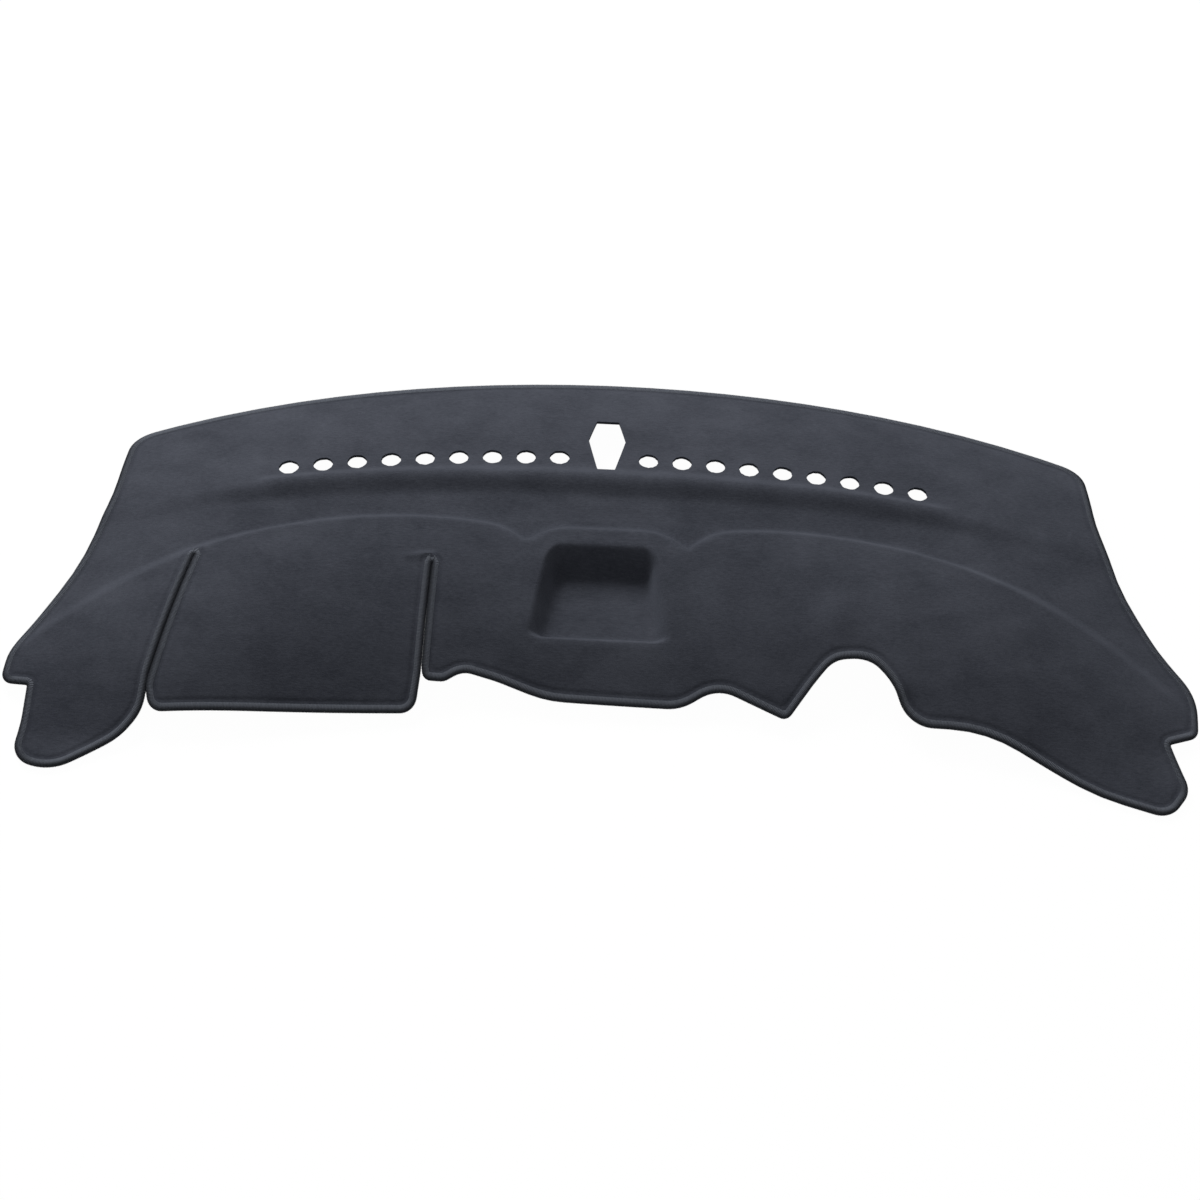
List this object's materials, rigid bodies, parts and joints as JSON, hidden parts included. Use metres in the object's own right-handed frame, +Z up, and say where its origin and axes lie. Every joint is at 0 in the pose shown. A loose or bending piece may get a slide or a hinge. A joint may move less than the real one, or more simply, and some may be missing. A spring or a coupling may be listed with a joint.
{
  "type": "dashboard cover mat",
  "caption": "Moulded carpet mat that covers a right-hand-drive car dashboard, with an overlocked edge, a tray recess, demister holes and an airbag flap.",
  "frame": {"origin": "middle of the underside of the whole mat's box, on the surface it lies on", "axes": "+X along the dashboard to the driver's side of a right-hand-drive car, +Y towards the windscreen, +Z up"},
  "size_m": [1.448, 0.6182, 0.0717],
  "materials": {
    "carpet": "needle-punched polyester carpet, matt charcoal with a faint blue cast",
    "edge_yarn": "overlocked polyester yarn in the colour of the carpet, with a slight sheen"
  },
  "bodies": {
    "root": {"mat": "carpet", "edge_overlock": "edge_yarn"}
  },
  "joints": []
}
